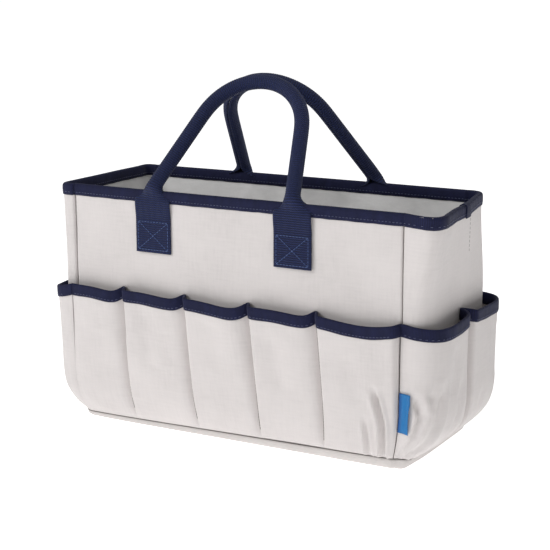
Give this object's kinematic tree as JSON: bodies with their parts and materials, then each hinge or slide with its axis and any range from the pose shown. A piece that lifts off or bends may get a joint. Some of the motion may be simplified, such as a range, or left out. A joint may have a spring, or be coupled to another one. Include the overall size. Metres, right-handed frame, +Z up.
{
  "type": "garden tool bag",
  "caption": "Open-topped soft garden tool bag in pale woven fabric with navy binding, outside slip pockets all round and two round-gripped webbing carry handles.",
  "frame": {"origin": "on the floor under the middle of the whole bag", "axes": "+X along the front to the viewer's right, +Y from front to back, +Z up"},
  "size_m": [0.4323, 0.177, 0.3566],
  "materials": {
    "bag_fabric": "woven",
    "lining": "coated",
    "foam": "matte",
    "base_board": "matte",
    "binding_tape": "woven",
    "webbing": "woven",
    "thread": "satin",
    "tag_ribbon": "satin"
  },
  "bodies": {
    "bag": {"bottom_panel": "bag_fabric", "base_board": "base_board", "base_lining": "lining", "front_wall": "bag_fabric", "back_wall": "bag_fabric", "left_end_wall": "bag_fabric", "right_end_wall": "bag_fabric", "front_foam": "foam", "back_foam": "foam", "left_end_foam": "foam", "right_end_foam": "foam", "front_lining": "lining", "back_lining": "lining", "left_end_lining": "lining", "right_end_lining": "lining", "front_pocket_band": "bag_fabric", "back_pocket_band": "bag_fabric", "left_pocket_band": "bag_fabric", "right_pocket_band": "bag_fabric", "front_pocket_binding": "binding_tape", "back_pocket_binding": "binding_tape", "left_pocket_binding": "binding_tape", "right_pocket_binding": "binding_tape", "front_pocket_stitching": "thread", "back_pocket_stitching": "thread", "left_pocket_stitching": "thread", "right_pocket_stitching": "thread", "rim_binding": "binding_tape", "front_left_tab": "webbing", "front_right_tab": "webbing", "back_left_tab": "webbing", "back_right_tab": "webbing", "front_tab_stitching": "thread", "back_tab_stitching": "thread"},
    "front_handle": {"front_handle_webbing": "webbing", "front_handle_core": "foam"},
    "back_handle": {"back_handle_webbing": "webbing", "back_handle_core": "foam"},
    "tag": {"side_tag": "tag_ribbon"}
  },
  "joints": [
    {"name": "front_handle_fold", "type": "hinge", "parent": "bag", "child": "front_handle", "pos_m": [-0.018, -0.081, 0.2172], "axis": [1, 0, 0], "range_deg": [0, 170]},
    {"name": "back_handle_fold", "type": "hinge", "parent": "bag", "child": "back_handle", "pos_m": [-0.006, 0.081, 0.2172], "axis": [-1, 0, 0], "range_deg": [0, 170]},
    {"name": "tag_flap", "type": "hinge", "parent": "bag", "child": "tag", "pos_m": [0.17069, -0.08024, 0.059], "axis": [0, 0, -1], "range_deg": [0, 60]}
  ]
}
